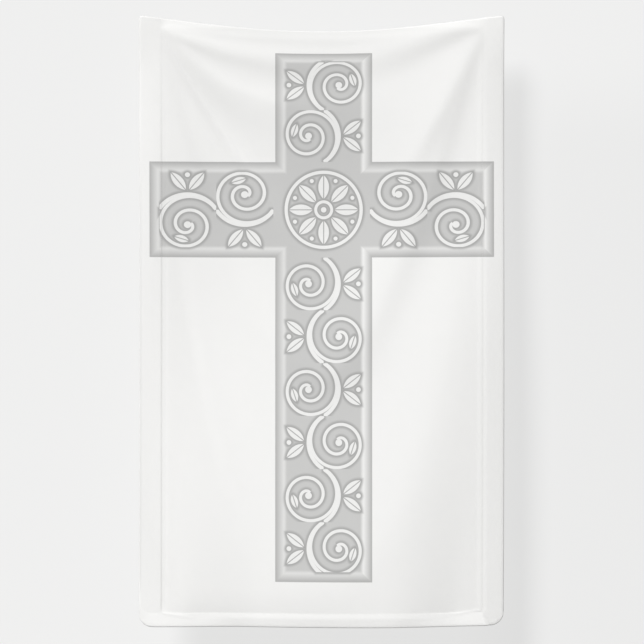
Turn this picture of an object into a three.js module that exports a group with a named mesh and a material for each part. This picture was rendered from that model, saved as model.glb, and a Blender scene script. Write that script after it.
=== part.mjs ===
// Church banner, 3 ft by 5 ft, hung by two points near its upper corners.
// One woven cloth with turned hems at its sides and foot. Its slack falls between the two
// points as a family of nested swags, and its lower half stands forward as one broad cowl.
//
// Millimetres, +Z up, the printed face towards -Y. The origin is on the back of the cloth
// in the middle of the top edge, which sags below the two corners.

import * as THREE from 'three';

// ---------------------------------------------------------------- driving sizes

const bannerWidth = 914;
const bannerLength = 1524;
const clothThickness = 1.2;
const hemThickness = 2.1;

const sideHem = 55; // from the side edge to its row of stitches
const footHem = 34; // from the foot to its row of stitches
const seamWidth = 5;
const seamDepth = 0.7;

const topSag = 40; // the middle of the top edge below its corners
const topSagFade = 90; // how fast the sag dies away down the cloth
const topSagPower = 1.3;
const footSag = 4;
const drawIn = 3; // each side, at the foot
const topCornerRadius = 8;
const footCornerRadius = 34;

const holdInset = 55; // the held points, in from the sides
const holdDrop = 31; // and below the corners
const holdStand = 20; // how far they stand off the wall
const leanLeft = 0.15; // slope of the band above the held points
const leanRight = 0.09;

const halfWidth = bannerWidth / 2;
const sideSeam = halfWidth - sideHem;
const footSeam = bannerLength - footHem;
const holdAcross = halfWidth - holdInset;

// ---------------------------------------------------------------- folds

// Swags hang from one held point to the other, each below the last. Pairs are for the left
// and the right half: the angle below level at which the crest leaves the held point, how
// far it runs on at that angle (a share of its drop), how far it runs level at the middle
// (a share of the half span), and the crest's width on its upper and lower side. Heights
// are at the left, in the middle and at the right; a negative one is a trough. Each rises
// from the held point over a share `grow` of its half.
const swags = [
  { name: 'brow', drop: 30, leave: [8, 8], run: [0.5, 0.5], level: [0.5, 0.5],
    upper: [14, 14], lower: [14, 14], narrow: 5, grow: 0.5, height: [0.6, 1.0, 0.2] },
  { name: 'lip', drop: 90, leave: [22, -4], run: [0.5, 1.2], level: [0.55, 0.4],
    upper: [40, 60], lower: [34, 62], narrow: 9, grow: 0.24, height: [4.2, 3.2, 5.6] },
  { name: 'first', drop: 205, leave: [50, 42], run: [0.5, 0.5], level: [0.6, 0.45],
    upper: [36, 60], lower: [70, 90], narrow: 10, grow: 0.24, height: [4.5, 4, 0.6] },
  { name: 'chute', drop: 510, leave: [62, 62], run: [0.42, 0.45], level: [0.22, 0.35],
    upper: [90, 190], lower: [32, 60], narrow: 10, grow: 0.6, height: [-14.5, -3, 9] },
  { name: 'third', drop: 860, leave: [74, 70], run: [0.4, 0.4], level: [0.3, 0.3],
    upper: [90, 120], lower: [40, 60], narrow: 10, grow: 0.85, height: [-5, 6, 8] },
];

const swagShape = { steps: 26, taper: 0.7, swap: 150, peakFrom: 0.35 };

// The cowl: a broad bowl inside half an ellipse. The cloth comes forward going down it, and
// it is tilted to face left. Past the half ellipse the cloth turns by these slopes.
const cowl = {
  drop: 1400, halfLeft: 362, halfRight: 382, halfSwap: 60, power: 2.2,
  forward: 43, start: 350, end: 1600,
  keepLeft: 0.15, keepRight: 0.9, keepReach: 200,
  tilt: 0.06, tiltStart: 250, tiltEnd: 850,
  turnLeft: 0.23, turnRight: -0.2, turnFoot: -0.1, turnSwap: 250, soft: 22,
  lipLeft: 3, lipRight: 0.3, lipInner: 20, lipOuter: 22,
  footStart: 1000, footEnd: 1450, footNear: 150, footFar: 350,
};

// The turned hems: those at the sides fall back, the foot's stands out below a dip and
// kicks forward towards its ends. The lower part of the left edge curls forward.
const hem = {
  backLeft: 5, backRight: 5.5, backPower: 1.5, backStart: 16, backEnd: 156,
  backFoot: 0.35, easeStart: 300, easeEnd: 1000,
  dipLeft: 3.4, dipRight: 1.4, dipReach: 60, dipNear: 300, dipFar: 388,
  rise: 1.2, riseReach: 14, under: 1.3, underStart: 8,
  kick: 3.6, kickNear: 230, kickFar: 345, mitre: 0.6, mitreSoft: 5,
  roll: 1.2, rollReach: 7, curl: -1, curlStart: 200, curlEnd: 500, curlFade: 1430,
};

// The upper corners stay flat, to take a pin, clip or pad.
const corner = { near: 385, far: 418 };

const mix = (from, to, share) => from + (to - from) * share;
const clamp01 = (value) => Math.min(1, Math.max(0, value));

function ease(value) {
  const share = clamp01(value);
  return share * share * (3 - 2 * share);
}

const rampUp = (value, start, end) => ease((value - start) / (end - start));

// 0 on the left, 1 on the right, turning over within this distance of the middle.
const sideShare = (across, swap) => rampUp(across, -swap, swap);

function bezierPoints(start, lead, trail, end, steps) {
  const curve = new THREE.CubicBezierCurve(start, lead, trail, end);
  return curve.getPoints(steps);
}

// One half of a crest, from its held point to the middle.
function halfCrest(swag, side, sign) {
  const angle = THREE.MathUtils.degToRad(swag.leave[side]);
  const run = swag.run[side] * swag.drop;
  const start = new THREE.Vector2(sign * holdAcross, 0);
  const lead = new THREE.Vector2(
    start.x - sign * run * Math.cos(angle),
    run * Math.sin(angle),
  );
  const trail = new THREE.Vector2(sign * swag.level[side] * holdAcross, swag.drop);
  const end = new THREE.Vector2(0, swag.drop);
  return bezierPoints(start, lead, trail, end, swagShape.steps);
}

function crestLine(swag) {
  const left = halfCrest(swag, 0, -1);
  const right = halfCrest(swag, 1, 1).reverse();
  const points = [...left, ...right.slice(1)];
  const along = [0];
  for (let i = 1; i < points.length; i += 1) {
    along.push(along[i - 1] + points[i].distanceTo(points[i - 1]));
  }
  return { points, along, length: along[along.length - 1] };
}

const crests = swags.map((swag) => ({ swag, line: crestLine(swag) }));

// Distance from a crest, below it positive, and the share of its length at that place.
function nearestOnCrest(line, across, down) {
  let nearest = Infinity;
  let below = 1;
  let share = 0;
  for (let i = 1; i < line.points.length; i += 1) {
    const a = line.points[i - 1];
    const b = line.points[i];
    const length = line.along[i] - line.along[i - 1];
    const ux = (b.x - a.x) / length;
    const uy = (b.y - a.y) / length;
    const rx = across - a.x;
    const ry = down - a.y;
    const step = Math.min(length, Math.max(0, rx * ux + ry * uy));
    const distance = Math.hypot(rx - step * ux, ry - step * uy);
    if (distance < nearest) {
      nearest = distance;
      below = Math.sign(ux * ry - uy * rx) || 1;
      share = (line.along[i - 1] + step) / line.length;
    }
  }
  return { distance: nearest * below, share };
}

function swagHeight({ swag, line }, across, down) {
  const { distance, share } = nearestOnCrest(line, across, down);
  const fromEnd = 2 * Math.min(share, 1 - share);
  const right = sideShare(across, swagShape.swap);
  const sides = distance < 0 ? swag.upper : swag.lower;
  const wide = mix(sides[0], sides[1], right);
  const width = mix(swag.narrow, wide, fromEnd ** swagShape.taper);
  const atSide = mix(swag.height[0], swag.height[2], right);
  const peak = mix(atSide, swag.height[1], rampUp(fromEnd, swagShape.peakFrom, 1));
  const begun = clamp01(fromEnd / swag.grow);
  return peak * begun * (2 - begun) * Math.exp(-((distance / width) ** 2));
}

// Distance outside the cowl's half ellipse, to first order.
function outsideCowl(across, down) {
  const half = mix(cowl.halfLeft, cowl.halfRight, sideShare(across, cowl.halfSwap));
  const q = Math.abs(across) / half;
  const d = Math.max(0, down) / cowl.drop;
  const k = Math.max(q ** cowl.power + d ** cowl.power, 1e-9);
  const level = k ** (1 / cowl.power) - 1;
  const slope = Math.hypot(q ** (cowl.power - 1) / half, d ** (cowl.power - 1) / cowl.drop);
  return level / Math.max(slope / k ** (1 - 1 / cowl.power), 1e-4);
}

function cowlHeight(across, down) {
  const right = sideShare(across, cowl.turnSwap);
  const outside = outsideCowl(across, down);
  const past = cowl.soft * Math.log1p(Math.exp(Math.min(30, outside / cowl.soft)));
  const foot = rampUp(down, cowl.footStart, cowl.footEnd)
    * (1 - rampUp(Math.abs(across), cowl.footNear, cowl.footFar));
  const aside = mix(cowl.keepLeft, cowl.keepRight, right);
  const keep = mix(mix(1, aside, ease(outside / cowl.keepReach)), 1, foot);
  const forward = cowl.forward * rampUp(down, cowl.start, cowl.end);
  const turn = mix(mix(cowl.turnLeft, cowl.turnRight, right), cowl.turnFoot, foot);
  const tilted = rampUp(down, cowl.tiltStart, cowl.tiltEnd);
  const lip = mix(cowl.lipLeft, cowl.lipRight, right) * (1 - foot)
    * (1 - rampUp(outside, -cowl.lipInner, cowl.lipOuter));
  return forward * keep + tilted * (cowl.tilt * across + turn * past + lip);
}

// How far the back of the cloth stands off the wall. `drop` is below the corners.
function standOff(across, drop) {
  const down = drop - holdDrop;
  const aside = rampUp(Math.abs(across), corner.near, corner.far);
  const lean = mix(leanLeft, leanRight, sideShare(across, halfWidth));
  let stand = holdStand - lean * Math.max(0, -down) * (1 - aside);
  for (const crest of crests) {
    stand += swagHeight(crest, across, down);
  }
  return stand + cowlHeight(across, down);
}

// ---------------------------------------------------------------- outline and sheet

function sagAt(across) {
  return Math.max(0, 1 - (across / halfWidth) ** 2) ** topSagPower;
}

function cornerCut(across, radius) {
  const past = Math.abs(across) - (halfWidth - radius);
  return past <= 0 ? 0 : radius - Math.sqrt(Math.max(0, radius ** 2 - past ** 2));
}

// Where a point of the flat cloth hangs, seen from the front.
function hang(across, along) {
  const share = along / bannerLength;
  const start = cornerCut(across, topCornerRadius);
  const end = bannerLength - cornerCut(across, footCornerRadius);
  const flat = start + (end - start) * share;
  const sag = sagAt(across) * (topSag * Math.exp(-flat / topSagFade) + footSag * share);
  return { x: across * (1 - (drawIn / halfWidth) * share), drop: flat + sag, flat };
}

// What the hems add to the folds.
function hemForm(across, along) {
  const fromEdge = Math.min(halfWidth - Math.abs(across), bannerLength - along);
  const curled = (across < 0 ? 1 : 0) * rampUp(along, hem.curlStart, hem.curlEnd)
    * (1 - rampUp(along, hem.curlFade, footSeam));
  const roll = mix(hem.roll, hem.curl, curled) * clamp01(1 - fromEdge / hem.rollReach) ** 2;
  const share = clamp01((Math.abs(across) - sideSeam) / sideHem);
  const back = (across < 0 ? hem.backLeft : hem.backRight)
    * share ** hem.backPower * rampUp(along, hem.backStart, hem.backEnd)
    * mix(1, hem.backFoot, rampUp(along, hem.easeStart, hem.easeEnd));
  const below = along - footSeam;
  const inner = 1 - rampUp(Math.abs(across), hem.kickNear, hem.kickFar);
  const dip = mix(hem.dipLeft, hem.dipRight, sideShare(across, hem.kickNear))
    * (1 - rampUp(Math.abs(across), hem.dipNear, hem.dipFar))
    * clamp01(below / hem.dipReach + 1) ** 2;
  const rise = hem.rise * rampUp(below, 0, hem.riseReach) * inner;
  const under = hem.under * rampUp(below, hem.underStart, footHem) * inner;
  const pastMitre = across - sideSeam - hem.mitre * Math.max(0, below);
  const kick = hem.kick * clamp01(below / footHem) * (1 - inner)
    * (1 - rampUp(pastMitre, -hem.mitreSoft, hem.mitreSoft));
  return rise + kick - roll - back - dip - under;
}

const originStand = standOff(0, topSag);

function facePoint(across, along) {
  const { x, drop } = hang(across, along);
  const stand = standOff(x, drop) + hemForm(across, along);
  return new THREE.Vector3(x, originStand - stand, topSag - drop);
}

function faceNormal(across, along) {
  const reach = 0.5;
  const left = facePoint(across - reach, along);
  const right = facePoint(across + reach, along);
  const high = facePoint(across, along - reach);
  const low = facePoint(across, along + reach);
  return right.sub(left).cross(high.sub(low)).normalize();
}

// 1 in the turned hems, and a shallow trough along their rows of stitches.
function hemAt(across, along) {
  const fromSide = halfWidth - Math.abs(across) - sideHem;
  const fromFoot = bannerLength - along - footHem;
  const inner = Math.min(fromSide, fromFoot);
  const seam = Math.max(0, 1 - Math.abs(inner) / (seamWidth / 2));
  return { turned: inner < 0 ? 1 : 0, seam };
}

// ---------------------------------------------------------------- grid lines

function lines(bands) {
  const places = [bands[0].from];
  for (const { from, to, steps } of bands) {
    for (let i = 1; i <= steps; i += 1) {
      places.push(mix(from, to, i / steps));
    }
  }
  return places;
}

const halfSeam = seamWidth / 2;

const rightLines = lines([
  { from: 0, to: 288, steps: 12 },
  { from: 288, to: sideSeam - halfSeam, steps: 6 },
  { from: sideSeam - halfSeam, to: sideSeam + halfSeam, steps: 2 },
  { from: sideSeam + halfSeam, to: halfWidth - hem.rollReach, steps: 3 },
  { from: halfWidth - hem.rollReach, to: halfWidth, steps: 2 },
]);
const leftLines = rightLines.slice(1).reverse().map((place) => -place);
const acrossLines = [...leftLines, ...rightLines];

const alongLines = lines([
  { from: 0, to: 36, steps: 4 },
  { from: 36, to: 150, steps: 9 },
  { from: 150, to: 420, steps: 10 },
  { from: 420, to: 1290, steps: 18 },
  { from: 1290, to: footSeam - hem.dipReach, steps: 4 },
  { from: footSeam - hem.dipReach, to: footSeam - halfSeam, steps: 4 },
  { from: footSeam - halfSeam, to: footSeam + halfSeam, steps: 2 },
  { from: footSeam + halfSeam, to: bannerLength - hem.rollReach, steps: 2 },
  { from: bannerLength - hem.rollReach, to: bannerLength, steps: 1 },
]);

// ---------------------------------------------------------------- the solid

function sheetGeometry() {
  const columns = acrossLines.length;
  const rows = alongLines.length;
  const face = [];
  const back = [];
  for (const along of alongLines) {
    for (const across of acrossLines) {
      const { turned, seam } = hemAt(across, along);
      const point = facePoint(across, along);
      const normal = faceNormal(across, along);
      const thickness = mix(clothThickness, hemThickness, turned);
      const front = point.clone().addScaledVector(normal, clothThickness - seamDepth * seam);
      const rear = point.clone().addScaledVector(normal, clothThickness - thickness);
      face.push(front);
      back.push(rear);
    }
  }

  const points = [...face, ...back];
  const behind = face.length;
  const at = (row, column) => row * columns + column;
  const faces = [];
  const quad = (a, b, c, d) => {
    faces.push(a, b, c, a, c, d);
  };

  for (let row = 0; row < rows - 1; row += 1) {
    for (let column = 0; column < columns - 1; column += 1) {
      const a = at(row, column);
      const b = at(row + 1, column);
      const c = at(row + 1, column + 1);
      const d = at(row, column + 1);
      quad(a, b, c, d);
      quad(behind + a, behind + d, behind + c, behind + b);
    }
  }

  const rim = [];
  for (let column = 0; column < columns; column += 1) rim.push(at(0, column));
  for (let row = 1; row < rows; row += 1) rim.push(at(row, columns - 1));
  for (let column = columns - 2; column >= 0; column -= 1) rim.push(at(rows - 1, column));
  for (let row = rows - 2; row > 0; row -= 1) rim.push(at(row, 0));
  rim.forEach((from, i) => {
    const to = rim[(i + 1) % rim.length];
    quad(from, to, behind + to, behind + from);
  });

  const geometry = new THREE.BufferGeometry().setFromPoints(points);
  geometry.setIndex(faces);
  geometry.computeVertexNormals();
  return geometry;
}

const wovenPolyester = new THREE.MeshStandardMaterial({
  color: 0xf2f1ec,
  roughness: 0.85,
  metalness: 0,
});

const bannerCloth = new THREE.Mesh(sheetGeometry(), wovenPolyester);
bannerCloth.name = 'banner_cloth';

const banner = new THREE.Group();
banner.add(bannerCloth);

export default banner;
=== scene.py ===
import math

import bpy
import numpy as np
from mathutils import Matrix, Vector


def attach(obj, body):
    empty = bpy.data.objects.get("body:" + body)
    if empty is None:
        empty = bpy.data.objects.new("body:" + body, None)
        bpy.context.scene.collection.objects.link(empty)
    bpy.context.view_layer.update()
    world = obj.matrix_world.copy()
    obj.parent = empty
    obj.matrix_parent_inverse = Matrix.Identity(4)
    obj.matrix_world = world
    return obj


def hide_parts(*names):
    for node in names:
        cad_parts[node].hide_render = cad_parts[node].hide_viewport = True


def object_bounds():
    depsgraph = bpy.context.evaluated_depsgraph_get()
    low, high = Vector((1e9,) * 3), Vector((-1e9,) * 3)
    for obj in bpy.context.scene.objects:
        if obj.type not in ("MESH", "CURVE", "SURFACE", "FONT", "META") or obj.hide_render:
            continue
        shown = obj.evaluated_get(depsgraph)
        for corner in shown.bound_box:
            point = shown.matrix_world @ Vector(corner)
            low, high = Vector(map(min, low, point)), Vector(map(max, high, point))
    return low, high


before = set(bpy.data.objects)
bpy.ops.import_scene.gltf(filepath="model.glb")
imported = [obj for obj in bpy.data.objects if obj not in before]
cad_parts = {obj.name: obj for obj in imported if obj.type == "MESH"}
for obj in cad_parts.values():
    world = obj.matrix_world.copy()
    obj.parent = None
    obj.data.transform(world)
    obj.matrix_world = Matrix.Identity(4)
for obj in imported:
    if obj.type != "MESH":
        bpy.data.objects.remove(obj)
cadBox = [list(corner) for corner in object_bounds()]

# metres, +Z up, the printed face towards -Y, origin on the back of the top edge's middle

banner = {
    "width": 0.914,
    "length": 1.524,
    "solidThickness": 0.0012,  # the printed face lies this far before the fold surface
    "clothThickness": 0.0005,
    "hemThickness": 0.0014,
    "rimBulge": 0.45,  # share of the thickness that the rim rounds outwards
    "sideHem": 0.055,  # side edge to its row of stitches
    "footHem": 0.034,
    "topSag": 0.040,
    "topSagFade": 0.090,
    "topSagPower": 1.3,
    "footSag": 0.004,
    "drawIn": 0.003,
    "topCornerRadius": 0.008,
    "footCornerRadius": 0.034,
}
halfWidth = banner["width"] / 2
sideSeam = halfWidth - banner["sideHem"]
footSeam = banner["length"] - banner["footHem"]


# camera

view = {
    "distance": 6.0,
    "pictureWidth": 1.6115,  # what the frame spans at the banner
    "centre": (0.001, -0.7268),  # across, up
    "sensor": 36,  # mm
    "reach": 60,
}


def makeCamera():
    data = bpy.data.cameras.new("bannerCamera")
    data.sensor_width = view["sensor"]
    data.lens = data.sensor_width * view["distance"] / view["pictureWidth"]
    data.clip_end = view["reach"]
    camera = bpy.data.objects.new("bannerCamera", data)
    camera.location = (view["centre"][0], -view["distance"], view["centre"][1])
    camera.rotation_euler = (math.radians(90), 0, 0)
    bpy.context.scene.collection.objects.link(camera)
    bpy.context.scene.camera = camera


makeCamera()
print("camera ready")


# folds: the cloth's distance from the wall, over where it hangs seen from the front

hold = {"across": sideSeam, "drop": 0.031, "stand": 0.020, "leanLeft": 0.15, "leanRight": 0.09}

# pairs are for the left and right half; heights are left, middle, right
swags = {
    "brow": {
        "drop": 0.030, "leave": (8, 8), "run": (0.5, 0.5), "level": (0.5, 0.5),
        "upper": (0.014, 0.014), "lower": (0.014, 0.014), "narrow": 0.005, "grow": 0.50,
        "height": (0.0006, 0.0010, 0.0002),
    },
    "lip": {
        "drop": 0.090, "leave": (22, -4), "run": (0.5, 1.2), "level": (0.55, 0.40),
        "upper": (0.040, 0.060), "lower": (0.034, 0.062), "narrow": 0.009, "grow": 0.24,
        "height": (0.0042, 0.0032, 0.0056),
    },
    "first": {
        "drop": 0.205, "leave": (50, 42), "run": (0.5, 0.5), "level": (0.6, 0.45),
        "upper": (0.036, 0.060), "lower": (0.070, 0.090), "narrow": 0.010, "grow": 0.24,
        "height": (0.0045, 0.0040, 0.0006),
    },
    "chute": {
        "drop": 0.510, "leave": (62, 62), "run": (0.42, 0.45), "level": (0.22, 0.35),
        "upper": (0.090, 0.190), "lower": (0.032, 0.060), "narrow": 0.010, "grow": 0.60,
        "height": (-0.0145, -0.0030, 0.0090),
    },
    "third": {
        "drop": 0.860, "leave": (74, 70), "run": (0.4, 0.4), "level": (0.30, 0.30),
        "upper": (0.090, 0.120), "lower": (0.040, 0.060), "narrow": 0.010, "grow": 0.85,
        "height": (-0.0050, 0.0060, 0.0080),
    },
}
swagShape = {"steps": 26, "taper": 0.7, "swap": 0.150, "peakFrom": 0.35}

# a broad bowl inside half an ellipse, tilted to face left; past it the cloth turns
cowl = {
    "drop": 1.400, "halfLeft": 0.362, "halfRight": 0.382, "halfSwap": 0.060, "power": 2.2,
    "forward": 0.043, "start": 0.350, "end": 1.600,
    "keepLeft": 0.15, "keepRight": 0.90, "keepReach": 0.200,
    "tilt": 0.060, "tiltStart": 0.250, "tiltEnd": 0.850,
    "turnLeft": 0.23, "turnRight": -0.20, "turnFoot": -0.10, "turnSwap": 0.250,
    "soft": 0.022, "leastSlope": 0.1,
    "lipLeft": 0.0030, "lipRight": 0.0003, "lipInner": 0.020, "lipOuter": 0.022,
    "footStart": 1.000, "footEnd": 1.450, "footNear": 0.150, "footFar": 0.350,
}

# the turned hems: the side ones fall back; the foot's stands out below a dip, turns under
# at its lower edge and kicks forward towards its ends; the left edge curls forward low down
hem = {
    "backLeft": 0.0050, "backRight": 0.0055, "backPower": 1.5,
    "backStart": 0.016, "backEnd": 0.156, "backFoot": 0.35,
    "easeStart": 0.300, "easeEnd": 1.000,
    "dipLeft": 0.0034, "dipRight": 0.0007, "dipReach": 0.060,
    "dipNear": 0.300, "dipFar": 0.388,
    "rise": 0.0012, "riseReach": 0.014, "under": 0.0010, "underStart": 0.008,
    "kickLeft": 0.0038, "kickRight": 0.0056, "kickNear": 0.200, "kickFar": 0.320,
    "mitre": 0.60, "mitreSoft": 0.005,
    "roll": 0.0012, "rollReach": 0.007,
    "curl": -0.0010, "curlStart": 0.200, "curlEnd": 0.500, "curlFade": 1.430,
}

# the upper corners stay flat beyond these
corner = {"near": 0.385, "far": 0.418}


def mix(start, end, share):
    return start + (end - start) * share


def ease(value):
    share = np.clip(value, 0, 1)
    return share * share * (3 - 2 * share)


def rampUp(value, start, end):
    return ease((value - start) / (end - start))


# 0 on the left, 1 on the right, turning over within this distance of the middle
def sideShare(across, swap):
    return rampUp(across, -swap, swap)


def halfCrest(swag, side, sign):
    angle = math.radians(swag["leave"][side])
    run = swag["run"][side] * swag["drop"]
    start = np.array((sign * hold["across"], 0.0))
    lead = start + np.array((-sign * math.cos(angle), math.sin(angle))) * run
    trail = np.array((sign * swag["level"][side] * hold["across"], swag["drop"]))
    end = np.array((0.0, swag["drop"]))
    t = np.linspace(0, 1, swagShape["steps"] + 1)[:, None]
    return ((1 - t) ** 3 * start + 3 * (1 - t) ** 2 * t * lead
            + 3 * (1 - t) * t ** 2 * trail + t ** 3 * end)


def crestLine(swag):
    left = halfCrest(swag, 0, -1)
    right = halfCrest(swag, 1, 1)[::-1]
    return np.concatenate([left, right[1:]])


# signed distance from a crest, below it positive, and the share of its length there
def nearestOnCrest(points, across, down):
    steps = np.diff(points, axis=0)
    lengths = np.hypot(steps[:, 0], steps[:, 1])
    along = np.concatenate([[0], np.cumsum(lengths)])
    nearest = np.full(across.shape, np.inf)
    below = np.ones(across.shape)
    share = np.zeros(across.shape)
    for (x, y), (dx, dy), length, start in zip(points, steps, lengths, along):
        ux, uy = dx / length, dy / length
        rx, ry = across - x, down - y
        step = np.clip(rx * ux + ry * uy, 0, length)
        distance = np.hypot(rx - step * ux, ry - step * uy)
        closer = distance < nearest
        nearest = np.where(closer, distance, nearest)
        below = np.where(closer, np.where(ux * ry - uy * rx < 0, -1, 1), below)
        share = np.where(closer, (start + step) / along[-1], share)
    return nearest * below, share


def swagHeight(swag, across, down):
    distance, share = nearestOnCrest(crestLine(swag), across, down)
    fromEnd = 2 * np.minimum(share, 1 - share)
    right = sideShare(across, swagShape["swap"])
    wide = np.where(distance < 0, mix(*swag["upper"], right), mix(*swag["lower"], right))
    width = mix(swag["narrow"], wide, fromEnd ** swagShape["taper"])
    atSide = mix(swag["height"][0], swag["height"][2], right)
    peak = mix(atSide, swag["height"][1], ease((fromEnd - swagShape["peakFrom"])
                                               / (1 - swagShape["peakFrom"])))
    begun = np.clip(fromEnd / swag["grow"], 0, 1)
    return peak * begun * (2 - begun) * np.exp(-(distance / width) ** 2)


def outsideCowl(across, down):
    half = mix(cowl["halfLeft"], cowl["halfRight"], sideShare(across, cowl["halfSwap"]))
    power, tiny = cowl["power"], 1e-9
    q = np.abs(across) / half
    d = np.maximum(down, 0) / cowl["drop"]
    k = np.maximum(q ** power + d ** power, tiny)
    slope = np.hypot(q ** (power - 1) / half, d ** (power - 1) / cowl["drop"])
    return (k ** (1 / power) - 1) / np.maximum(slope / k ** (1 - 1 / power), cowl["leastSlope"])


def cowlHeight(across, down):
    right = sideShare(across, cowl["turnSwap"])
    outside = outsideCowl(across, down)
    limit = 30  # keeps exp in range
    past = cowl["soft"] * np.log1p(np.exp(np.clip(outside / cowl["soft"], -limit, limit)))
    foot = (rampUp(down, cowl["footStart"], cowl["footEnd"])
            * (1 - rampUp(np.abs(across), cowl["footNear"], cowl["footFar"])))
    aside = mix(cowl["keepLeft"], cowl["keepRight"], right)
    keep = mix(mix(1, aside, ease(outside / cowl["keepReach"])), 1, foot)
    forward = cowl["forward"] * rampUp(down, cowl["start"], cowl["end"])
    turn = mix(mix(cowl["turnLeft"], cowl["turnRight"], right), cowl["turnFoot"], foot)
    tilted = rampUp(down, cowl["tiltStart"], cowl["tiltEnd"])
    lip = mix(cowl["lipLeft"], cowl["lipRight"], right) * (1 - foot)
    lip = lip * (1 - rampUp(outside, -cowl["lipInner"], cowl["lipOuter"]))
    return forward * keep + tilted * (cowl["tilt"] * across + turn * past + lip)


def standOff(across, drop):
    down = drop - hold["drop"]
    aside = rampUp(np.abs(across), corner["near"], corner["far"])
    lean = mix(hold["leanLeft"], hold["leanRight"], sideShare(across, halfWidth))
    stand = hold["stand"] - lean * np.maximum(-down, 0) * (1 - aside)
    for swag in swags.values():
        stand = stand + swagHeight(swag, across, down)
    return stand + cowlHeight(across, down)


# where a point of the flat cloth hangs

def cornerCut(across, radius):
    past = np.clip(np.abs(across) - (halfWidth - radius), 0, radius)
    return radius - np.sqrt(radius ** 2 - past ** 2)


def hang(across, along):
    share = along / banner["length"]
    start = cornerCut(across, banner["topCornerRadius"])
    end = banner["length"] - cornerCut(across, banner["footCornerRadius"])
    flat = start + (end - start) * share
    sagShare = np.maximum(0, 1 - (across / halfWidth) ** 2) ** banner["topSagPower"]
    topSag = banner["topSag"] * np.exp(-flat / banner["topSagFade"])
    drop = flat + sagShare * (topSag + banner["footSag"] * share)
    return across * (1 - banner["drawIn"] / halfWidth * share), drop


def hemForm(across, along):
    fromEdge = np.minimum(halfWidth - np.abs(across), banner["length"] - along)
    turned = rampUp(along, hem["curlStart"], hem["curlEnd"]) * (across < 0)
    turned = turned * (1 - rampUp(along, hem["curlFade"], footSeam))
    roll = mix(hem["roll"], hem["curl"], turned)
    roll = roll * np.clip(1 - fromEdge / hem["rollReach"], 0, 1) ** 2
    share = np.clip((np.abs(across) - sideSeam) / banner["sideHem"], 0, 1)
    back = np.where(across < 0, hem["backLeft"], hem["backRight"])
    back = back * share ** hem["backPower"] * rampUp(along, hem["backStart"], hem["backEnd"])
    back = back * mix(1, hem["backFoot"], rampUp(along, hem["easeStart"], hem["easeEnd"]))
    below = along - footSeam
    inner = 1 - rampUp(np.abs(across), hem["kickNear"], hem["kickFar"])
    dip = mix(hem["dipLeft"], hem["dipRight"], sideShare(across, hem["kickNear"]))
    dip = dip * (1 - rampUp(np.abs(across), hem["dipNear"], hem["dipFar"]))
    dip = dip * np.clip(below / hem["dipReach"] + 1, 0, 1) ** 2
    rise = hem["rise"] * rampUp(below, 0, hem["riseReach"]) * inner
    under = hem["under"] * rampUp(below, hem["underStart"], banner["footHem"]) * inner
    pastMitre = across - sideSeam - hem["mitre"] * np.maximum(below, 0)
    kick = mix(hem["kickLeft"], hem["kickRight"], sideShare(across, hem["kickNear"]))
    kick = kick * np.clip(below / banner["footHem"], 0, 1) * (1 - inner)
    kick = kick * (1 - rampUp(pastMitre, -hem["mitreSoft"], hem["mitreSoft"]))
    return rise + kick - roll - back - dip - under


originStand = float(standOff(np.zeros(1), np.full(1, banner["topSag"]))[0])


def facePoints(across, along):
    x, drop = hang(across, along)
    stand = standOff(x, drop) + hemForm(across, along)
    return np.stack([x, originStand - stand, banner["topSag"] - drop], -1)


def faceNormals(across, along):
    reach = 0.0008
    acrossWay = facePoints(across + reach, along) - facePoints(across - reach, along)
    upWay = facePoints(across, along - reach) - facePoints(across, along + reach)
    normals = np.cross(acrossWay, upWay)
    return normals / np.linalg.norm(normals, axis=-1, keepdims=True)


# relief of the turned hems, on top of the folds

# distances run inwards from the row of stitches; the turned hem stands proud of the
# single cloth, which is drawn up or down beside it
seam = {
    "turn": 0.010,  # radius of the row's turn at the corners of the foot
    "left": {"step": 0.0010, "outer": -0.0025, "inner": 0.0030,
             "draw": -0.0004, "near": 0.0110, "far": 0.0160},
    "right": {"step": 0.0008, "outer": -0.0100, "inner": -0.0030,
              "draw": 0.0007, "near": 0.0020, "far": 0.0150},
    "foot": {"step": 0.0005, "outer": -0.0040, "inner": 0.0035,
             "draw": 0.0000, "near": 0.0020, "far": 0.0100},
    "drawKept": 0.60,  # share of the draw that the hem keeps
    "row": 0.0020,
    "hemSoft": 0.003,  # width over which the hem's thickness comes in
    "slack": (0.25, 0.100, 0.450),  # how faint the row is at the top, and where it gains
    "puckerPitch": 0.0135,
    "pucker": 0.00010,
    "puckerReach": 0.014,
    "wander": (0.004, 31),  # keeps the puckers' spacing uneven: how far, how often
    "swell": (0.6, 0.4, 43, 1.7),  # and their height: least, more, how often, shift
}

# short ridges where the foot's hem meets the side hems, fading in and out along their run
ridgeEnds = {"in": (-0.08, 0.10), "out": (0.55, 1.05)}
cornerRidges = [
    {"from": (-0.400, 1.4895), "to": (-0.318, 1.5035), "height": 0.0009, "width": 0.0032},
    {"from": (0.402, 1.4850), "to": (0.312, 1.4960), "height": 0.0007, "width": 0.0034},
]


# distance inside the row of stitches, which turns the corners of the foot
def seamDistance(across, along):
    turn = seam["turn"]
    a = turn - (sideSeam - np.abs(across))
    b = turn - (footSeam - along)
    beyond = np.hypot(np.maximum(a, 0), np.maximum(b, 0))
    return turn - beyond - np.minimum(np.maximum(a, b), 0)


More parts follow.
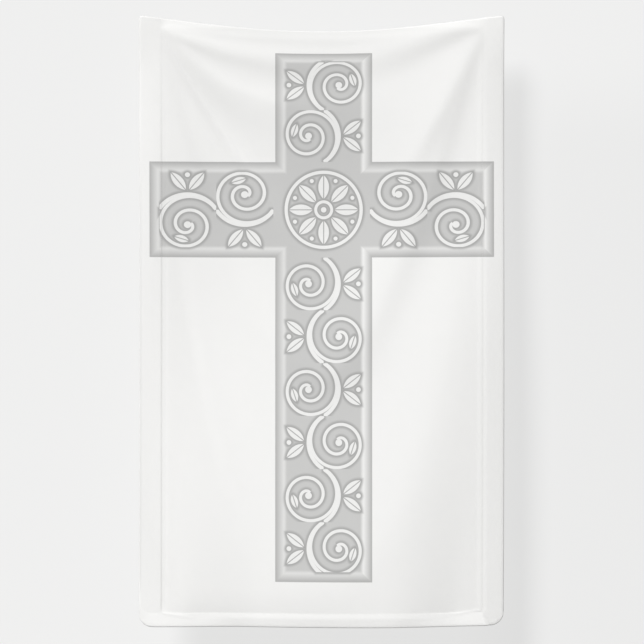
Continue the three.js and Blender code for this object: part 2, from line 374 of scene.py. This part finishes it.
def ridgeHeight(ridge, across, along):
    (x0, y0), (x1, y1) = ridge["from"], ridge["to"]
    length = math.hypot(x1 - x0, y1 - y0)
    ux, uy = (x1 - x0) / length, (y1 - y0) / length
    share = ((across - x0) * ux + (along - y0) * uy) / length
    distance = (across - x0) * uy - (along - y0) * ux
    ends = rampUp(share, *ridgeEnds["in"]) * (1 - rampUp(share, *ridgeEnds["out"]))
    return ridge["height"] * ends * np.exp(-(distance / ridge["width"]) ** 2)


def rowRelief(row, inner):
    step = row["step"] * (1 - rampUp(inner, row["outer"], row["inner"]))
    kept = mix(seam["drawKept"], 1, rampUp(inner, -seam["row"], seam["row"]))
    return step + row["draw"] * kept * (1 - rampUp(inner, row["near"], row["far"]))


def seamRelief(across, along):
    inner = seamDistance(across, along)
    faint, slackEnd, drawn = seam["slack"]
    pull = mix(faint, 1, rampUp(along, slackEnd, drawn))
    fromCorner = (sideSeam - np.abs(across)) - (footSeam - along)
    onFoot = rampUp(fromCorner, -seam["turn"], seam["turn"])
    sides = np.where(across < 0, rowRelief(seam["left"], inner), rowRelief(seam["right"], inner))
    relief = mix(sides, rowRelief(seam["foot"], inner), onFoot)
    run = mix(along, across, onFoot)
    shift, often = seam["wander"]
    run = run + shift * np.sin(run * often)
    least, more, often, phase = seam["swell"]
    wave = np.sin(run * 2 * math.pi / seam["puckerPitch"])
    wave = wave * (least + more * np.sin(run * often + phase))
    pucker = seam["pucker"] * wave * np.exp(-np.abs(inner) / seam["puckerReach"])
    ridges = sum(ridgeHeight(ridge, across, along) for ridge in cornerRidges)
    return (relief + pucker) * pull + ridges


# mesh of the cloth: printed face, back and a rounded rim

def gridLines(bands):
    places = [bands[0][0]]
    for start, end, steps in bands:
        places += [mix(start, end, i / steps) for i in range(1, steps + 1)]
    return np.array(places)


# closest at the rows of stitches and at the rim
def sideLines():
    near, close, rim = 0.014, 0.004, 0.010
    right = gridLines([
        (0, sideSeam - near, 58),
        (sideSeam - near, sideSeam - close, 5),
        (sideSeam - close, sideSeam + close, 8),
        (sideSeam + close, halfWidth - rim, 8),
        (halfWidth - rim, halfWidth, 5),
    ])
    return np.concatenate([-right[:0:-1], right])


def downLines():
    topFolds, lower = 0.300, 1.290
    near, close, rim = 0.016, 0.004, 0.006
    return gridLines([
        (0, topFolds, 76),
        (topFolds, lower, 146),
        (lower, footSeam - near, 28),
        (footSeam - near, footSeam - close, 6),
        (footSeam - close, footSeam + close, 8),
        (footSeam + close, banner["length"] - rim, 8),
        (banner["length"] - rim, banner["length"], 3),
    ])


def makeMesh(name, points, faces, uvs=None):
    mesh = bpy.data.meshes.new(name)
    mesh.from_pydata(points.tolist(), [], faces)
    if uvs is not None:
        layer = mesh.uv_layers.new(name="flatCloth")
        corners = np.zeros(len(mesh.loops), np.int32)
        mesh.loops.foreach_get("vertex_index", corners)
        layer.data.foreach_set("uv", uvs[corners].ravel())
    mesh.update()
    obj = bpy.data.objects.new(name, mesh)
    bpy.context.scene.collection.objects.link(obj)
    return obj


def makeCloth():
    acrossLines, alongLines = sideLines(), downLines()
    along, across = np.meshgrid(alongLines, acrossLines, indexing="ij")
    rows, columns = across.shape
    normals = faceNormals(across, along)
    raised = banner["solidThickness"] + seamRelief(across, along)
    front = facePoints(across, along) + normals * raised[..., None]
    turned = ease(0.5 - seamDistance(across, along) / seam["hemSoft"])
    thickness = mix(banner["clothThickness"], banner["hemThickness"], turned)
    back = front - normals * thickness[..., None]

    count = rows * columns
    ids = np.arange(count).reshape(rows, columns)
    a, b, c, d = ids[:-1, :-1], ids[1:, :-1], ids[1:, 1:], ids[:-1, 1:]
    frontFaces = np.stack([a, b, c, d], -1).reshape(-1, 4)
    backFaces = np.stack([a, d, c, b], -1).reshape(-1, 4) + count

    rim = np.concatenate([ids[0, :], ids[1:, -1], ids[-1, -2::-1], ids[-2:0:-1, 0]])
    frontFlat = front.reshape(-1, 3)
    backFlat = back.reshape(-1, 3)
    middle = (frontFlat[rim] + backFlat[rim]) / 2
    outward = np.roll(middle, -1, 0) - np.roll(middle, 1, 0)
    outward = np.cross(outward, normals.reshape(-1, 3)[rim])
    outward /= np.linalg.norm(outward, axis=-1, keepdims=True)
    middle += outward * thickness.reshape(-1)[rim, None] * banner["rimBulge"]
    rimIds = 2 * count + np.arange(len(rim))
    after = np.roll(rim, -1)
    rimAfter = np.roll(rimIds, -1)
    rimFaces = np.concatenate([
        np.stack([rim, after, rimAfter, rimIds], -1),
        np.stack([rimIds, rimAfter, after + count, rim + count], -1),
    ])

    points = np.concatenate([frontFlat, backFlat, middle])
    faces = np.concatenate([frontFaces, backFaces, rimFaces])
    flatPlaces = np.stack([across + halfWidth, banner["length"] - along], -1).reshape(-1, 2)
    uvs = np.concatenate([flatPlaces, flatPlaces, flatPlaces[rim]])
    cloth = makeMesh("bannerCloth", points, faces.tolist(), uvs)
    cloth.data.materials.append(printedFace())
    cloth.data.materials.append(clothBack())
    slots = np.zeros(len(faces), np.int32)
    slots[len(frontFaces):] = 1
    cloth.data.polygons.foreach_set("material_index", slots)
    cloth.data.polygons.foreach_set("use_smooth", np.ones(len(faces), bool))
    cloth.data.update()
    return cloth


# shader sockets as numbers: Wire carries one socket, Wires one material's tree

class Wire:
    def __init__(self, wires, socket):
        self.wires = wires
        self.socket = socket

    def using(self, operation, *values):
        return self.wires.math(operation, self, *values)

    def __add__(self, other):
        return self.using("ADD", other)

    def __radd__(self, other):
        return self.wires.math("ADD", other, self)

    def __sub__(self, other):
        return self.using("SUBTRACT", other)

    def __rsub__(self, other):
        return self.wires.math("SUBTRACT", other, self)

    def __mul__(self, other):
        return self.using("MULTIPLY", other)

    def __rmul__(self, other):
        return self.wires.math("MULTIPLY", other, self)

    def __truediv__(self, other):
        return self.using("DIVIDE", other)

    def __neg__(self):
        return self.using("MULTIPLY", -1)

    def __abs__(self):
        return self.using("ABSOLUTE")


class Wires:
    def __init__(self, name):
        self.material = bpy.data.materials.new(name)
        self.material.use_nodes = True
        self.tree = self.material.node_tree
        self.tree.nodes.clear()

    def node(self, kind, settings=None, inputs=None):
        made = self.tree.nodes.new(kind)
        for key, value in (settings or {}).items():
            setattr(made, key, value)
        for key, value in (inputs or {}).items():
            if isinstance(value, Wire):
                self.tree.links.new(value.socket, made.inputs[key])
            else:
                made.inputs[key].default_value = value
        return made

    def out(self, kind, output, settings=None, inputs=None):
        return Wire(self, self.node(kind, settings, inputs).outputs[output])

    def math(self, operation, *values):
        inputs = dict(enumerate(values))
        return self.out("ShaderNodeMath", 0, {"operation": operation}, inputs)

    def smooth(self, value, low, high, atLow=0.0, atHigh=1.0):
        inputs = {"Value": value, "From Min": low, "From Max": high,
                  "To Min": atLow, "To Max": atHigh}
        settings = {"interpolation_type": "SMOOTHSTEP"}
        return self.out("ShaderNodeMapRange", "Result", settings, inputs)

    def blend(self, factor, first, second):
        inputs = {0: factor, 6: first, 7: second}
        return self.out("ShaderNodeMix", 2, {"data_type": "RGBA"}, inputs)

    def length(self, x, y):
        return self.math("SQRT", x * x + y * y)

    def least(self, first, *others):
        for other in others:
            first = self.math("MINIMUM", first, other)
        return first

    def most(self, first, *others):
        for other in others:
            first = self.math("MAXIMUM", first, other)
        return first


# the print: a Latin cross in grey with a bevelled edge, filled with a scrolling vine

cross = {
    "shift": 0.0052,  # the upright stands a little right of the middle
    "armHalf": 0.4315,
    "armTop": 0.3650,
    "armFoot": 0.6042,
    "stemHalf": 0.1211,
    "stemTop": 0.0795,
    "stemFoot": 1.4102,
    "bevel": 0.021,
    "bevelFade": 0.010,  # and how far its light edge fades into the field
    "clearance": 0.004,  # between the bevel and the vine
    "rightLine": (0.003, 0.0005),  # where the light line on its right edges begins and ends
    "outlineSoft": 0.0006,
}
vine = {
    "step": 0.1315,  # one scroll
    "armStep": 0.1435,
    "swing": 0.038,
    "pitch": 0.034,
    "stemWidth": 0.0050,
    "curlWidth": 0.0040,
    "vein": 0.0011,
    "bud": 0.0085,
    "outerLeaf": {"place": (0.071, 0.021), "angle": 38, "length": 0.056, "half": 0.0115},
    "innerLeaf": {"place": (0.035, 0.014), "angle": 72, "length": 0.036, "half": 0.0085},
    "berry": {"place": 0.087, "radius": 0.006},
    "lineSoft": 0.0008,
    "halo": 0.010,
    "haloStart": -0.001,
}
rosetteShape = {
    "petals": 8,
    "ring": (0.094, 0.0042),  # radius and half width
    "inner": (0.020, 0.0038),
    "petal": {"place": (0.057, 0), "length": 0.060, "half": 0.0135},
    "seed": (0.078, 0.0052),  # distance out and radius
    "eye": 0.007,
}
tones = {  # shares of the cloth's own white
    "edge": 0.475,
    "bevelInner": 0.830,
    "bevelRight": 0.945,
    "field": 0.635,
    "halo": 0.385,
    "line": 0.955,
}
black = (0, 0, 0, 1)
clothWhite = (0.850, 0.848, 0.838, 1)


def boxInside(wires, x, y, left, right, top, foot):
    return wires.least(x - left, right - x, y - top, foot - y)


# shapes are distances, negative inside; the leaf is two arcs with a vein cut out
def leaf(wires, x, y, centre, angle, length, halfBreadth):
    turn = math.radians(angle)
    dx, dy = x - centre[0], y - centre[1]
    along = dx * math.cos(turn) + dy * math.sin(turn)
    across = abs(dy * math.cos(turn) - dx * math.sin(turn))
    radius = (length ** 2 / 4 + halfBreadth ** 2) / (2 * halfBreadth)
    outline = wires.length(along, across + (radius - halfBreadth)) - radius
    vein = vine["vein"] - across
    return wires.most(outline, vein)


def disc(wires, x, y, centre, radius):
    return wires.length(x - centre[0], y - centre[1]) - radius


def scroll(wires, a, b, step):
    cell = wires.math("FLOOR", b / step)
    local = b - (cell + 0.5) * step
    flip = 1 - 2 * wires.math("FLOORED_MODULO", cell, 2)
    x = a * flip
    half = vine["step"] / 2
    y = local * (vine["step"] / step)
    radius = (half ** 2 + vine["swing"] ** 2) / (2 * vine["swing"])
    centre = vine["swing"] - radius
    r = wires.length(x - centre, y)
    stem = wires.most(abs(r - radius) - vine["stemWidth"], -x)

    # a spiral that leaves the stem at the cell's start and winds inwards
    startTurn = math.acos(-centre / radius) / (2 * math.pi)
    turn = wires.math("ARCTAN2", y, x - centre) / (2 * math.pi) + startTurn
    turn = turn - wires.math("FLOOR", turn)
    winding = (r - radius) / vine["pitch"] + turn
    nearest = wires.least(wires.most(wires.math("ROUND", winding), -1.0), 0.0)
    curl = abs(winding - nearest) * vine["pitch"] - vine["curlWidth"]

    bud = disc(wires, x, y, (centre, 0), vine["bud"])
    part = vine["outerLeaf"]
    out, aside = part["place"]
    outer = [leaf(wires, x, y, (out, side * aside), side * part["angle"], part["length"],
                  part["half"]) for side in (1, -1)]
    berry = disc(wires, x, y, (vine["berry"]["place"], 0), vine["berry"]["radius"])
    part = vine["innerLeaf"]
    back, aside = part["place"]
    inner = leaf(wires, x, y, (centre - back, aside), part["angle"], part["length"],
                 part["half"])
    return wires.least(stem, curl, bud, *outer, berry, inner)


def rosette(wires, x, y):
    r = wires.length(x, y)
    ring, inner = [abs(r - radius) - half
                   for radius, half in (rosetteShape["ring"], rosetteShape["inner"])]
    petals = rosetteShape["petals"]
    turn = wires.math("ARCTAN2", y, x) / (2 * math.pi) * petals
    turn = (turn - wires.math("ROUND", turn)) * (2 * math.pi / petals)
    along = r * wires.math("COSINE", turn)
    across = r * wires.math("SINE", turn)
    part = rosetteShape["petal"]
    petal = leaf(wires, along, across, part["place"], 0, part["length"], part["half"])
    out, radius = rosetteShape["seed"]
    seed = wires.length(along - out * math.cos(math.pi / petals),
                        abs(across) - out * math.sin(math.pi / petals)) - radius
    return wires.least(ring, inner, petal, seed, r - rosetteShape["eye"])


def printTone(wires):
    uv = wires.out("ShaderNodeUVMap", "UV", {"uv_map": "flatCloth"})
    parts = wires.node("ShaderNodeSeparateXYZ", inputs={0: uv})
    x = Wire(wires, parts.outputs[0]) - halfWidth
    y = banner["length"] - Wire(wires, parts.outputs[1])
    stemX = x - cross["shift"]
    middleY = (cross["armTop"] + cross["armFoot"]) / 2

    stemIn = boxInside(wires, stemX, y, -cross["stemHalf"], cross["stemHalf"],
                       cross["stemTop"], cross["stemFoot"])
    armIn = boxInside(wires, x, y, -cross["armHalf"], cross["armHalf"],
                      cross["armTop"], cross["armFoot"])
    inside = wires.most(stemIn, armIn)

    # branches run outwards from the crossing
    upwards = cross["armTop"] - y
    downwards = y - cross["armFoot"]
    outwards = abs(x) - cross["stemHalf"]
    vertical = wires.most(upwards, downwards)
    stemScroll = scroll(wires, stemX, vertical, vine["step"])
    armScroll = scroll(wires, y - middleY, outwards, vine["armStep"])
    flower = rosette(wires, stemX, y - middleY)
    inArm = wires.math("GREATER_THAN", outwards, 0)
    inStem = wires.math("GREATER_THAN", vertical, 0)
    shape = (flower * (1 - inArm) * (1 - inStem) + stemScroll * inStem
             + armScroll * inArm * (1 - inStem))

    field = inside - cross["bevel"]
    shape = wires.most(shape, cross["clearance"] - field)
    line = wires.smooth(shape, vine["lineSoft"], -vine["lineSoft"])
    halo = wires.smooth(shape, vine["halo"], vine["haloStart"])
    fromRight = wires.least(abs(inside - cross["stemHalf"] + stemX),
                            abs(inside - cross["armHalf"] + x))
    onRight = wires.smooth(fromRight, *cross["rightLine"])
    light = tones["bevelInner"] + (tones["bevelRight"] - tones["bevelInner"]) * onRight
    slope = wires.math("MINIMUM", inside / cross["bevel"], 1.0)
    grey = tones["edge"] + (light - tones["edge"]) * slope
    grey = grey + (tones["field"] - grey) * wires.smooth(field, 0, cross["bevelFade"])
    grey = grey + (tones["halo"] - grey) * halo
    grey = grey + (tones["line"] - grey) * line
    onCross = wires.smooth(inside, -cross["outlineSoft"], cross["outlineSoft"])
    return 1 + (grey - 1) * onCross, uv


weave = {
    "pitch": 0.0011,
    "threads": 0.5,
    "slub": 1.2,
    "slubScale": 160.0,
    "slubDetail": 3.0,
    "bump": 0.35,
    "depth": 0.00025,
}
finish = {
    "mottleScale": 22.0,
    "mottleDetail": 4.0,
    "mottleRange": (0.25, 0.75),
    "mottleTone": (0.996, 1.0),
    "roughness": 0.86,
    "specular": 0.25,
    "sheen": 0.08,
    "sheenRoughness": 0.5,
    "through": 0.14,  # share of the light that passes
    "backPrint": 0.12,  # how strongly the print shows on the back, through the hem
    "backGain": 0.30,  # and how much more where the cloth is single
    "hemEdgeSoft": 0.0005,
}


def weaveHeight(wires, uv):
    turns = 2 * math.pi / weave["pitch"]
    parts = wires.node("ShaderNodeSeparateXYZ", inputs={0: uv})
    warp = wires.math("SINE", Wire(wires, parts.outputs[0]) * turns)
    weft = wires.math("SINE", Wire(wires, parts.outputs[1]) * turns)
    slub = wires.out("ShaderNodeTexNoise", "Fac", {"noise_dimensions": "2D"},
                     {"Vector": uv, "Scale": weave["slubScale"],
                      "Detail": weave["slubDetail"]})
    return warp * weft * weave["threads"] + slub * weave["slub"]


def clothShader(wires, tone, uv):
    mottle = wires.out("ShaderNodeTexNoise", "Fac", {"noise_dimensions": "2D"},
                       {"Vector": uv, "Scale": finish["mottleScale"],
                        "Detail": finish["mottleDetail"]})
    tone = tone * wires.smooth(mottle, *finish["mottleRange"], *finish["mottleTone"])
    colour = wires.blend(tone, black, clothWhite)
    bump = wires.out("ShaderNodeBump", "Normal", None,
                     {"Height": weaveHeight(wires, uv), "Strength": weave["bump"],
                      "Distance": weave["depth"]})
    face = wires.out("ShaderNodeBsdfPrincipled", "BSDF", None,
                     {"Base Color": colour, "Roughness": finish["roughness"],
                      "Specular IOR Level": finish["specular"],
                      "Sheen Weight": finish["sheen"],
                      "Sheen Roughness": finish["sheenRoughness"], "Normal": bump})
    through = wires.out("ShaderNodeBsdfTranslucent", "BSDF", None, {"Color": clothWhite})
    both = wires.out("ShaderNodeMixShader", 0, None,
                     {0: tone * finish["through"], 1: face, 2: through})
    wires.node("ShaderNodeOutputMaterial", None, {"Surface": both})
    return wires.material


def printedFace():
    wires = Wires("printedFace")
    tone, uv = printTone(wires)
    return clothShader(wires, tone, uv)


# the print shows through faintly, and less where the hem covers it
def clothBack():
    wires = Wires("clothBack")
    tone, uv = printTone(wires)
    parts = wires.node("ShaderNodeSeparateXYZ", inputs={0: uv})
    fromSide = sideSeam - abs(Wire(wires, parts.outputs[0]) - halfWidth)
    fromFoot = Wire(wires, parts.outputs[1]) - banner["footHem"]
    soft = finish["hemEdgeSoft"]
    single = wires.smooth(wires.least(fromSide, fromFoot), -soft, soft)
    faint = 1 + (tone - 1) * (finish["backPrint"] + finish["backGain"] * single)
    return clothShader(wires, faint, uv)


cloth = makeCloth()
print("cloth ready", len(cloth.data.polygons), "faces")


# stitches: one row down the left side, round the foot and up the right side, on both
# sides of the cloth

stitch = {
    "pitch": 0.0042,
    "length": 0.0030,
    "radius": 0.00035,
    "sides": 6,
    "rings": 4,
    "sink": 0.0001,
    "inset": 0.004,  # from the top edge to where the row begins
    "sidePoints": 400,
    "turnPoints": 9,
    "footPoints": 240,
}
thread = {
    "twist": 900.0,
    # painted shade: the tone in the grooves of the twist
    "grooveShade": (0.80, 0.79, 0.77, 1),
    "light": (0.90, 0.895, 0.88, 1),
    "bump": 0.4,
    "depth": 0.0001,
    "roughness": 0.6,
}


def seamPath():
    turn = seam["turn"]
    down = np.linspace(stitch["inset"], footSeam - turn, stitch["sidePoints"])
    angles = np.linspace(0, math.pi / 2, stitch["turnPoints"])[1:-1]
    cornerX = sideSeam - turn + turn * np.cos(angles)
    cornerY = footSeam - turn + turn * np.sin(angles)
    foot = np.linspace(-(sideSeam - turn), sideSeam - turn, stitch["footPoints"])
    side = np.full(down.shape, sideSeam)
    across = np.concatenate([-side, -cornerX, foot, cornerX[::-1], side])
    level = np.full(foot.shape, footSeam)
    along = np.concatenate([down, cornerY, level, cornerY[::-1], down[::-1]])
    return across, along


def threadMaterial():
    wires = Wires("hemThread")
    place = wires.out("ShaderNodeTexCoord", "Object")
    settings = {"wave_type": "BANDS", "bands_direction": "DIAGONAL"}
    twist = wires.out("ShaderNodeTexWave", "Fac", settings,
                      {"Vector": place, "Scale": thread["twist"]})
    # the white thread is painted darker in the grooves of its twist, where the bump sinks:
    # painted shade
    colour = wires.blend(twist, thread["grooveShade"], thread["light"])
    bump = wires.out("ShaderNodeBump", "Normal", None,
                     {"Height": twist, "Strength": thread["bump"],
                      "Distance": thread["depth"]})
    face = wires.out("ShaderNodeBsdfPrincipled", "BSDF", None,
                     {"Base Color": colour, "Roughness": thread["roughness"],
                      "Normal": bump})
    wires.node("ShaderNodeOutputMaterial", None, {"Surface": face})
    return wires.material


def stitchTree(material):
    tree = bpy.data.node_groups.new("stitchRows", "GeometryNodeTree")
    sockets = tree.interface
    sockets.new_socket("Geometry", in_out="INPUT", socket_type="NodeSocketGeometry")
    for label in ("Pitch", "Length", "Radius"):
        sockets.new_socket(label, in_out="INPUT", socket_type="NodeSocketFloat")
    sockets.new_socket("Geometry", in_out="OUTPUT", socket_type="NodeSocketGeometry")

    def add(kind, settings=None, inputs=None):
        made = tree.nodes.new(kind)
        for key, value in (settings or {}).items():
            setattr(made, key, value)
        for key, value in (inputs or {}).items():
            if isinstance(value, bpy.types.NodeSocket):
                tree.links.new(value, made.inputs[key])
            else:
                made.inputs[key].default_value = value
        return made

    given = add("NodeGroupInput")
    rows = add("GeometryNodeMeshToCurve", None, {"Mesh": given.outputs["Geometry"]})
    dots = add("GeometryNodeResampleCurve", {"mode": "LENGTH"},
               {"Curve": rows.outputs[0], "Length": given.outputs["Pitch"]})
    ball = add("GeometryNodeMeshUVSphere", None,
               {"Segments": stitch["sides"], "Rings": stitch["rings"], "Radius": 1.0})
    size = add("ShaderNodeCombineXYZ", None,
               {"X": given.outputs["Radius"], "Y": given.outputs["Radius"],
                "Z": given.outputs["Length"]})
    shaped = add("GeometryNodeTransform", None,
                 {"Geometry": ball.outputs["Mesh"], "Scale": size.outputs[0]})
    tangent = add("GeometryNodeInputTangent")
    turned = add("FunctionNodeAlignRotationToVector", {"axis": "Z"},
                 {"Vector": tangent.outputs[0]})
    placed = add("GeometryNodeInstanceOnPoints", None,
                 {"Points": dots.outputs[0], "Instance": shaped.outputs[0],
                  "Rotation": turned.outputs[0]})
    real = add("GeometryNodeRealizeInstances", None, {0: placed.outputs[0]})
    smooth = add("GeometryNodeSetShadeSmooth", None, {0: real.outputs[0]})
    coloured = add("GeometryNodeSetMaterial", None,
                   {"Geometry": smooth.outputs[0], "Material": material})
    result = add("NodeGroupOutput")
    tree.links.new(coloured.outputs[0], result.inputs[0])
    return tree


def makeStitches():
    across, along = seamPath()
    normals = faceNormals(across, along)
    face = facePoints(across, along)
    relief = banner["solidThickness"] + seamRelief(across, along)
    # at the row the thickness is half way from the cloth's to the hem's
    thick = mix(banner["clothThickness"], banner["hemThickness"], 0.5)
    offsets = (relief - stitch["sink"], relief - thick + stitch["sink"])
    paths = [face + normals * offset[:, None] for offset in offsets]
    count = len(across)
    edges = [(start + i, start + i + 1) for start in (0, count) for i in range(count - 1)]
    mesh = bpy.data.meshes.new("stitchPath")
    mesh.from_pydata(np.concatenate(paths).tolist(), edges, [])
    guide = bpy.data.objects.new("stitchPath", mesh)
    bpy.context.scene.collection.objects.link(guide)
    tree = stitchTree(threadMaterial())
    modifier = guide.modifiers.new("stitchRows", "NODES")
    modifier.node_group = tree
    # the ball is scaled by its half length
    values = {"Pitch": stitch["pitch"], "Length": stitch["length"] / 2,
              "Radius": stitch["radius"]}
    for item in tree.interface.items_tree:
        if item.in_out == "INPUT" and item.name in values:
            modifier[item.identifier] = values[item.name]
    bpy.context.view_layer.update()
    depsgraph = bpy.context.evaluated_depsgraph_get()
    made = bpy.data.meshes.new_from_object(guide.evaluated_get(depsgraph))
    rows = bpy.data.objects.new("hemStitches", made)
    bpy.context.scene.collection.objects.link(rows)
    bpy.data.objects.remove(guide)
    return rows


stitches = makeStitches()
print("stitches ready", len(stitches.data.polygons), "faces")


# floor, wall and lights

studio = {
    "wallGap": 0.120,  # behind the cloth's rearmost point
    "floorDrop": 0.42,  # below the foot
    "wallSize": 7.0,
    "wallRise": 0.6,  # share of its size that stands above the floor
    "floorHalf": 9,
    "paint": (1, 1, 0.995, 1),
    "roughness": 0.95,
    "wallTone": 0.155,
    "wallGlow": 0.690,  # the backdrop is lit from behind as well
    "paintedShadowAcross": (0.30, 0.65),  # painted shadow: the glow is dimmer on the right, below the top, like the wide soft edge of the cloth's shadow
    "paintedShadowDown": (-0.03, -0.30),
    "paintedShadowDepth": 0.050,
    "floorTone": 0.35,
    "grainScale": 3.0,
    "grainRange": (0.3, 0.7),
    "grain": 0.006,
    "world": 0.36,
    "sun": 3.60,
    "sunAngle": 18,
    "sunFrom": (-0.40, -0.66, 0.63),
}


def backdropPaint():
    wires = Wires("backdropPaint")
    place = wires.out("ShaderNodeTexCoord", "Object")
    parts = wires.node("ShaderNodeSeparateXYZ", None, {0: place})
    # painted shadow: the backdrop's glow is dimmed on the right and below the top, where the
    # cloth's shadow spreads wide
    aside = wires.smooth(Wire(wires, parts.outputs[0]), *studio["paintedShadowAcross"])
    low = wires.smooth(Wire(wires, parts.outputs[2]), *studio["paintedShadowDown"])
    paintedShadowFactor = 1 - studio["paintedShadowDepth"] * aside * low
    glow = wires.blend(paintedShadowFactor, black, studio["paint"])
    tone = studio["wallTone"]
    face = wires.out("ShaderNodeBsdfPrincipled", "BSDF", None,
                     {"Base Color": (tone, tone, tone, 1), "Roughness": studio["roughness"],
                      "Specular IOR Level": 0.0, "Emission Color": glow,
                      "Emission Strength": studio["wallGlow"]})
    clear = wires.out("ShaderNodeBsdfTransparent", "BSDF")
    behind = wires.out("ShaderNodeNewGeometry", "Backfacing")
    oneSided = wires.out("ShaderNodeMixShader", 0, None, {0: behind, 1: face, 2: clear})
    wires.node("ShaderNodeOutputMaterial", None, {"Surface": oneSided})
    return wires.material


def floorPaint():
    wires = Wires("floorPaint")
    grain = wires.out("ShaderNodeTexNoise", "Fac", None, {"Scale": studio["grainScale"]})
    light = studio["floorTone"]
    tone = wires.smooth(grain, *studio["grainRange"], light - studio["grain"], light)
    colour = wires.blend(tone, black, studio["paint"])
    face = wires.out("ShaderNodeBsdfPrincipled", "BSDF", None,
                     {"Base Color": colour, "Roughness": studio["roughness"],
                      "Specular IOR Level": 0.0})
    wires.node("ShaderNodeOutputMaterial", None, {"Surface": face})
    return wires.material


def makeStage():
    wallY = cadBox[1][1] + studio["wallGap"]
    floorZ = cadBox[0][2] - studio["floorDrop"]
    side = studio["wallSize"] / 2
    top = floorZ + studio["wallSize"] * studio["wallRise"]
    wall = makeMesh("backWall", np.array([
        (-side, wallY, floorZ), (side, wallY, floorZ), (side, wallY, top), (-side, wallY, top)]),
        [(0, 1, 2, 3)])
    wall.data.materials.append(backdropPaint())
    half = studio["floorHalf"]
    floor = makeMesh("floor", np.array([
        (-half, -half, floorZ), (half, -half, floorZ), (half, half, floorZ),
        (-half, half, floorZ)]), [(0, 1, 2, 3)])
    floor.data.materials.append(floorPaint())


def makeLights():
    world = bpy.data.worlds.new("studio")
    world.use_nodes = True
    background = world.node_tree.nodes["Background"]
    background.inputs["Color"].default_value = (1, 1, 1, 1)
    background.inputs["Strength"].default_value = studio["world"]
    bpy.context.scene.world = world
    data = bpy.data.lights.new("softKey", "SUN")
    data.energy = studio["sun"]
    data.angle = math.radians(studio["sunAngle"])
    key = bpy.data.objects.new("softKey", data)
    key.rotation_euler = Vector(studio["sunFrom"]).to_track_quat("Z", "Y").to_euler()
    bpy.context.scene.collection.objects.link(key)


makeStage()
makeLights()
bpy.context.scene.view_settings.view_transform = "Standard"
print("stage and lights ready")


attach(cloth, "root")
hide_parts("banner_cloth")
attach(stitches, "root")
